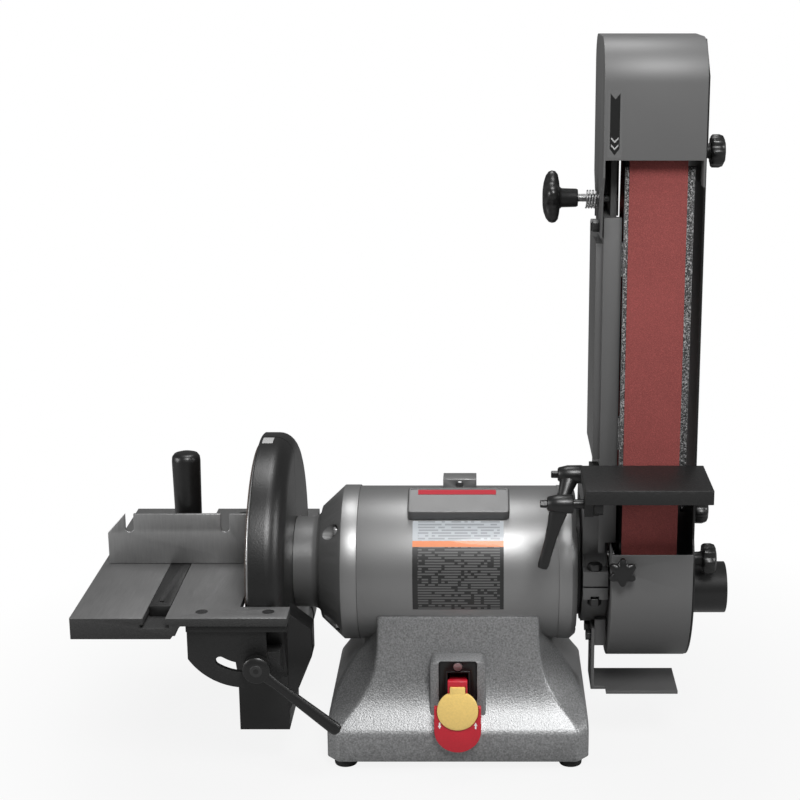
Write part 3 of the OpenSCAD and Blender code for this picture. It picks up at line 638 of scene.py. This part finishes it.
tracking = {"lobes": 5, "dent": 0.26, "lift": 1,
            "grip": [(0.2, 3, 0), (0, 8, 0), (0.8, 14, 0.3), (2.6, 20, 0.8), (5.2, 23.6, 1), (8, 24.6, 1),
                     (11, 24, 1),
                     (13.4, 21, 1), (14.6, 15, 0.7), (15.2, 10, 0), (17, 8.6, 0), (30, 8.2, 0),
                     (31.5, 7.4, 0)],
            "screw": {"start": 31, "pitch": 0.5, "root": 3.2, "crest": 3.7, "steps": 60, "radius": 3.4,
                      "tip": 2.6}}
low, high = span("tracking_knob")
mid = (low + high) / 2
centre = (0, mid.y, mid.z + tracking["lift"])
star = lobed([(low.x + a, r, w) for a, r, w in tracking["grip"]], centre, tracking["lobes"], tracking["dent"])
place("tracking_star", meshFrom(star, "tracking_star", 40), "tracking_knob")
v = tracking["screw"]
thread = [(low.x + v["start"] + v["pitch"] * k, v["crest"] if k % 2 else v["root"])
          for k in range(1, v["steps"])]
screw = [(low.x + v["start"], v["radius"])] + thread + [(high.x - 1, v["radius"]), (high.x, v["tip"])]
screw = closed(lathe(screw, centre, steps=28))
place("tracking_screw", meshFrom(screw, "tracking_screw", 30), "tracking_knob", "steel", replaced=False)

coverKnob = {"wider": 1.2, "lobes": 6, "dent": 0.3, "face": 5, "end": 2.8,
             # along, inset, share of the wave
             "rim": [(0.3, 4, 0.6), (1.8, 0.4, 1), (6, 0.3, 1), (7.6, 2.4, 0.8)],
             "neck": [(8, 6), (9, 5), (13, 4.9)]}
low, high = span("cover_knob")
mid = (low + high) / 2
r = (high.x - low.x) / 2 + coverKnob["wider"]
profile = [(low.y, coverKnob["face"], 0)] + [(low.y + a, r - inset, w) for a, inset, w in coverKnob["rim"]]
profile += [(low.y + a, neck, 0) for a, neck in coverKnob["neck"]] + [(high.y, coverKnob["end"], 0)]
knob = lobed(profile, (mid.x, 0, mid.z), coverKnob["lobes"], coverKnob["dent"], axis="Y")
place("cover_star", meshFrom(knob, "cover_star", 40), "cover_knob")

clamp = {"hub": [(0, 2), (0.2, 5.4), (1.2, 6.6), (9, 8.4), (22, 8.6), (23.4, 8), (23.8, 4.2), (37, 4.2)],
         "pin": [(-6, 2.4), (-5.6, 3.4), (1, 3.6)], "root": 12, "tip": -3.5, "flat": 0.75,
         "grip": [(0, 5), (0.06, 8), (0.14, 8.2), (0.3, 6.6), (0.55, 5.2), (0.8, 4.9), (0.93, 5.2),
                  (0.985, 4.2), (1, 2)]}
clampLevers = {  # piece: node, centre in Y and Z, start of the hub, length of the arm, lean
    "tilt_grip": ("tilt_lever", (-113, motorZ + 95), 80, 61, 0),
    "slide_grip": ("slide_lever", (-50, motorZ + 103), 92, 50, -35)}
for name, (node, (y, z), hubX, length, lean) in clampLevers.items():
    hub = closed(lathe([(hubX + a, r) for a, r in clamp["hub"]], (0, y, z), steps=40))
    pin = closed(lathe([(hubX + a, r) for a, r in clamp["pin"]], (0, y, z), steps=6))
    grip = rod((hubX + clamp["root"], y, z), (hubX + clamp["tip"], y, z - length), clamp["grip"],
               clamp["flat"])
    lever = turned(joined(hub, pin, grip), lean, "X", (0, y, z))
    place(name, meshFrom(lever, name, 38), node)
print("knobs and levers made")


# switch, plate, decals and handles
def disc(centre, r, thick, dome, axis="Y"):
    # a button with a gently domed face towards -Y
    profile = [(thick, 0.01), (thick, r - 0.4), (thick - 0.4, r), (0.9, r), (0.3, r - 0.3), (0.0, r - 1.1)]
    profile += [(-dome * (1 - (1 - k / 6) ** 2), (r - 1.1) * (1 - k / 6) + 0.01) for k in range(1, 7)]
    return closed(lathe(profile, centre, axis=axis, steps=64))


low, high = span("safety_key")
mid = (low + high) / 2
keyR = (high.x - low.x) / 2
keyZ = low.z + keyR
key = {"neck": 7.0, "thick": high.y - low.y, "dome": 1.4}
tab = box((-key["neck"], low.y + key["dome"], keyZ), (key["neck"], high.y, high.z), 1.5, edge=0.5)
dome = disc((0, low.y + key["dome"], keyZ), keyR, key["thick"] - key["dome"], key["dome"])
place("key_dome", meshFrom(joined(dome, tab), "key_dome", 40), "safety_key")

low, high = span("switch_paddle")
softened("switch_paddle", 1.1, 3)


paddleArrows = {"x": 16.6, "up": 27, "wide": 3.2, "tall": 6.5, "stem": 0.22, "lift": 0.12}


def arrow(x, z, y, way):
    half, tall = paddleArrows["wide"] / 2, paddleArrows["tall"] / 2
    stem = paddleArrows["wide"] * paddleArrows["stem"]
    outline = [(-stem, -tall), (stem, -tall), (stem, 0), (half, 0), (0, tall), (-half, 0), (-stem, 0)]
    return slab([(x + u, z + way * v) for u, v in outline], y - paddleArrows["lift"], y + 0.1, "XZ")


pair = [arrow(way * paddleArrows["x"], low.z + paddleArrows["up"], low.y, way) for way in (-1, 1)]
place("paddle_arrows", meshFrom(joined(*pair), "paddle_arrows"), "switch_paddle", "white", replaced=False)


def oblong(x0, z0, x1, z1):
    return [(x0, z0), (x1, z0), (x1, z1), (x0, z1)]


low, high = span("name_plate")
plate = {"tilt": 25.5, "face": 82.0, "half": 17.0, "thick": 10.5, "rim": 2.4, "round": 4.0, "sunk": 0.5,
         "bore": 73.05,
         "bar": {"left": 9.5, "right": 12.5, "low": 7.1, "high": 13.4, "from": -0.6, "to": -0.25}}
h, r, z0 = plate["half"], plate["rim"], motorZ + plate["face"]
centre = (0, 0, motorZ)
body = slab(corner(oblong(low.x, -h, high.x, h), plate["round"]), z0 - plate["thick"], z0, "XY", 1.3, 3)
well = corner(oblong(low.x + r, -h + r, high.x - r, h - r), plate["round"] - 1.5)
well = slab(well, z0 - plate["sunk"], z0 + 2, "XY")
tube = closed(lathe([(low.x - 9, plate["bore"]), (high.x + 9, plate["bore"])], centre, steps=96))
body = turned(carve(body, [well, tube]), plate["tilt"], "X", centre)
place("plate_body", meshFrom(body, "plate_body", 40), "name_plate", "plateGrey")
v = plate["bar"]
bar = slab(oblong(low.x + v["left"], v["low"], high.x - v["right"], v["high"]), z0 + v["from"], z0 + v["to"],
           "XY")
bar = meshFrom(turned(bar, plate["tilt"], "X", centre), "plate_bar")
place("plate_bar", bar, "name_plate", "redInk", replaced=False)

low, high = span("mitre_handle")
mid = (low + high) / 2
r = (high.x - low.x) / 2
foot = [(low.z, r * 0.5), (low.z, r - 2.2), (low.z + 1.2, r - 1.4)]
crown = [(high.z - down, r - inset)
         for down, inset in ((8, 0), (4, 0.5), (1.4, 2.4), (0.2, 6))] + [(high.z, 1)]
grip = closed(lathe(foot + crown, (mid.x, mid.y, 0), axis="Z", steps=64))
place("mitre_grip", meshFrom(grip, "mitre_grip", 40), "mitre_handle")

lever = {"hub": 12.4, "end": (72, -60), "flat": 0.7,
         "front": [(0.25, 6), (0.7, 11), (1.8, 12.2)],
         "back": [(1, 12.4), (0, 11.6), (0, 5)],  # from its face, radius
         "arm": [(0, 6), (0.12, 5.4), (0.22, 4.4), (0.9, 6), (0.955, 6), (0.985, 5), (1, 2.6)],
         "screw": [(0.08, 2.6), (0.08, 5.2), (0.5, 5.8), (1.5, 5.8)],
         "socket": [(0.02, 0.05), (0.02, 2.7), (0.3, 2.7)]}
low, high = span("lock_lever")
hubX, hubZ = low.x + lever["hub"], high.z - lever["hub"]
midY = (low.y + high.y) / 2
hub = [(low.y + a, r) for a, r in lever["front"]] + [(high.y - a, r) for a, r in lever["back"]]
hub = closed(lathe(hub, (hubX, 0, hubZ), axis="Y", steps=56))
arm = rod((hubX, midY, hubZ), (hubX + lever["end"][0], midY, hubZ + lever["end"][1]), lever["arm"],
          lever["flat"])
place("lock_grip", meshFrom(joined(hub, arm), "lock_grip", 40), "lock_lever")
for name, profile, steps, look in (("lock_screw", "screw", 40, "darkSteel"),
                                   ("lock_socket", "socket", 6, "blackPlastic")):
    turnedPart = closed(lathe([(low.y + a, r) for a, r in lever[profile]], (hubX, 0, hubZ), axis="Y",
                              steps=steps))
    place(name, meshFrom(turnedPart, name, 30), "lock_lever", look, replaced=False)
softened("dust_chute", 2.4, 3)

low, high = span("top_cover")
decal = {"x": 3.0, "wide": 12.4, "tall": 58, "down": 43, "lift": 0.05, "half": 4.2,
         "mark": (3.2, 3.4, 1.6), "marks": (7, 13)}
x0, z1 = low.x + decal["x"], high.z - decal["down"]
x1, z0, mid = x0 + decal["wide"], z1 - decal["tall"], x0 + decal["wide"] / 2
film = slab(corner(oblong(x0, z0, x1, z1), 1.4), low.y - decal["lift"], low.y + 0.4, "XZ")
place("arrow_film", meshFrom(film, "arrow_film"), "top_cover", "filmDark", replaced=False)
h = decal["half"]
outline = [(mid, z0 + 2.5), (mid + h, z0 + 8), (mid + h, z1 - 3), (mid, z1 - 8), (mid - h, z1 - 3),
           (mid - h, z0 + 8)]
body = slab(outline, low.y - 2 * decal["lift"], low.y + 0.3, "XZ")
place("arrow_body", meshFrom(body, "arrow_body"), "top_cover", "blackPlastic", replaced=False)
h, rise, stroke = decal["mark"]
marks = []
for up in decal["marks"]:
    k = z0 + up
    chevron = [(mid - h, k + rise), (mid, k), (mid + h, k + rise), (mid + h, k + rise + stroke),
               (mid, k + stroke),
               (mid - h, k + rise + stroke)]
    marks.append(slab(chevron, low.y - 3 * decal["lift"], low.y + 0.3, "XZ"))
place("arrow_marks", meshFrom(joined(*marks), "arrow_marks"), "top_cover", "filmGrey", replaced=False)
# a black sheet inside the back of the top cover: painted shade for the dark inside the cover
coverShadeSheet = box((low.x + 1, high.y - 2.6, 500), (150, high.y - 1, high.z - 100))
place("cover_painted_shade", meshFrom(coverShadeSheet, "cover_painted_shade"), "top_cover", "blackPaint", replaced=False)

# a thin black sheet laid over the door's inner face: painted shade for the shadow that falls inside the door
low, high = span("side_door")
doorShadeSheet = bmesh.new()
doorShadeSheet.from_mesh(nodes["side_door"].data)
for v in doorShadeSheet.verts:
    v.co.x = low.x * mm - 0.0003 + (v.co.x - low.x * mm) * 0.15
place("door_painted_shade", meshFrom(doorShadeSheet, "door_painted_shade"), "side_door", "blackPaint", replaced=False)

low, high = span("guard_front")
film = {"x": (3, 13), "arc": (91, 98), "lift": 0.06, "sunk": 0.4}
r = high.z - motorZ
x0, x1 = (low.x + v for v in film["x"])
sticker = [(x0, r - film["sunk"]), (x0, r + film["lift"]), (x1, r + film["lift"]), (x1, r - film["sunk"])]
sticker = closed(lathe(sticker, (0, 0, motorZ), steps=8, arc=film["arc"]))
place("guard_sticker", meshFrom(sticker, "guard_sticker"), "guard_front", "filmGrey", replaced=False)


# springs made by nodes
def geometry(name, build, finishName, node, replaced):
    # runs a node group on an empty mesh and keeps the solid result
    tree = bpy.data.node_groups.new(name, "GeometryNodeTree")
    tree.interface.new_socket("Geometry", in_out="OUTPUT", socket_type="NodeSocketGeometry")
    out = tree.nodes.new("NodeGroupOutput")
    made = build(tree)
    real = tree.nodes.new("GeometryNodeRealizeInstances")
    paint = tree.nodes.new("GeometryNodeSetMaterial")
    paint.inputs["Material"].default_value = finish[finishName].mat
    tree.links.new(made, real.inputs[0])
    tree.links.new(real.outputs[0], paint.inputs["Geometry"])
    tree.links.new(paint.outputs[0], out.inputs[0])
    obj = bpy.data.objects.new(name, bpy.data.meshes.new(name))
    scene.collection.objects.link(obj)
    obj.modifiers.new(name, "NODES").node_group = tree
    bpy.context.view_layer.update()
    mesh = bpy.data.meshes.new_from_object(obj.evaluated_get(bpy.context.evaluated_depsgraph_get()))
    bpy.data.objects.remove(obj)
    return place(name, mesh, node, finishName, replaced)


def coil(centre, axis, length, radius, wire, turns):
    def build(tree):
        spiral = tree.nodes.new("GeometryNodeCurveSpiral")
        for key, v in {"Resolution": 22, "Rotations": turns, "Start Radius": radius * mm,
                       "End Radius": radius * mm, "Height": length * mm}.items():
            spiral.inputs[key].default_value = v
        ring = tree.nodes.new("GeometryNodeCurvePrimitiveCircle")
        ring.inputs["Resolution"].default_value = 10
        ring.inputs["Radius"].default_value = wire * mm
        tube = tree.nodes.new("GeometryNodeCurveToMesh")
        tube.inputs["Fill Caps"].default_value = True
        move = tree.nodes.new("GeometryNodeTransform")
        move.inputs["Translation"].default_value = [v * mm for v in centre]
        if axis == "X":
            move.inputs["Rotation"].default_value = (0, math.radians(90), 0)
        tree.links.new(spiral.outputs[0], tube.inputs[0])
        tree.links.new(ring.outputs[0], tube.inputs[1])
        tree.links.new(tube.outputs[0], move.inputs[0])
        return move.outputs[0]
    return build


springs = {"tension_spring": {"piece": "tension_coil", "axis": "Z", "wire": 0.75, "turns": 9},
           "tracking_spring": {"piece": "tracking_coil", "axis": "X", "wire": 0.8, "turns": 4}}
inset = 0.8
for node, v in springs.items():
    low, high = span(node)
    mid = (low + high) / 2
    i = "XYZ".index(v["axis"])
    start = mid.copy()
    start[i] = low[i] + inset
    radius = ((high.x - low.x) if v["axis"] == "Z" else (high.z - low.z)) / 2 - inset
    build = coil(start, v["axis"], high[i] - low[i] - 2 * inset, radius, v["wire"], v["turns"])
    geometry(v["piece"], build, "steel", node, True)
print("small parts made")


# floor, world and lamps
def plainShader(name, colour, rough):
    mat = bpy.data.materials.new(name)
    mat.use_nodes = True
    mat.node_tree.nodes["Principled BSDF"].inputs["Base Color"].default_value = (*colour, 1)
    mat.node_tree.nodes["Principled BSDF"].inputs["Roughness"].default_value = rough
    return mat


def whiteFloor():
    # white to the camera and in reflections, but it keeps the object's soft shadow
    mat = plainShader("floor", (0.3, 0.3, 0.3), 0.9)
    tree = mat.node_tree
    add = tree.nodes.new
    path = add("ShaderNodeLightPath")
    glow = add("ShaderNodeEmission")
    glow.inputs["Strength"].default_value = 1.0
    # the further from the object, the more of the glow and the less of the shadow
    surface = add("ShaderNodeNewGeometry")
    far = add("ShaderNodeVectorMath")
    far.operation = "LENGTH"
    tree.links.new(surface.outputs["Position"], far.inputs[0])
    ramp = add("ShaderNodeMapRange")
    for key, v in {"From Min": 0.30, "From Max": 0.62, "To Min": 0.88, "To Max": 1.0}.items():
        ramp.inputs[key].default_value = v
    tree.links.new(far.outputs["Value"], ramp.inputs["Value"])
    seen = add("ShaderNodeMath")
    seen.operation = "MULTIPLY"
    tree.links.new(ramp.outputs[0], seen.inputs[1])
    mix = add("ShaderNodeMixShader")
    tree.links.new(path.outputs["Is Camera Ray"], seen.inputs[0])
    tree.links.new(seen.outputs[0], mix.inputs[0])
    tree.links.new(tree.nodes["Principled BSDF"].outputs[0], mix.inputs[1])
    tree.links.new(glow.outputs[0], mix.inputs[2])
    tree.links.new(mix.outputs[0], tree.nodes["Material Output"].inputs["Surface"])
    return mat


bpy.ops.mesh.primitive_plane_add(size=12, location=(0, 2, 0))
floor = bpy.context.object
floor.name = "floor"
floor.data.materials.append(whiteFloor())

world = bpy.data.worlds.new("studio")
scene.world = world
world.use_nodes = True
tree = world.node_tree
back = tree.nodes["Background"]
back.inputs["Color"].default_value = (1, 1, 1, 1)
path = tree.nodes.new("ShaderNodeLightPath")
pick = tree.nodes.new("ShaderNodeMix")
pick.inputs[2].default_value = 0.16
pick.inputs[3].default_value = 1.0
tree.links.new(path.outputs["Is Camera Ray"], pick.inputs[0])
tree.links.new(pick.outputs[0], back.inputs["Strength"])

lamps = {
    "key": {"place": (0.35, -1.5, 1.9), "aim": (0, 0, 0.25), "size": 0.8, "power": 46},
    "left": {"place": (-1.9, -0.6, 0.9), "aim": (-0.05, 0, 0.25), "size": 0.9, "power": 22},
    "right": {"place": (2.0, -0.4, 1.1), "aim": (0.1, 0, 0.3), "size": 0.8, "power": 18},
    "top": {"place": (0.0, 0.5, 2.4), "aim": (0, 0, 0.2), "size": 1.0, "power": 24},
}
for name, v in lamps.items():
    lamp = bpy.data.objects.new(name, bpy.data.lights.new(name, "AREA"))
    scene.collection.objects.link(lamp)
    lamp.location = v["place"]
    lamp.rotation_euler = (Vector(v["aim"]) - Vector(v["place"])).to_track_quat("-Z", "Y").to_euler()
    lamp.data.shape = "DISK"
    lamp.data.size = v["size"]
    lamp.data.energy = v["power"]
print("lights set")
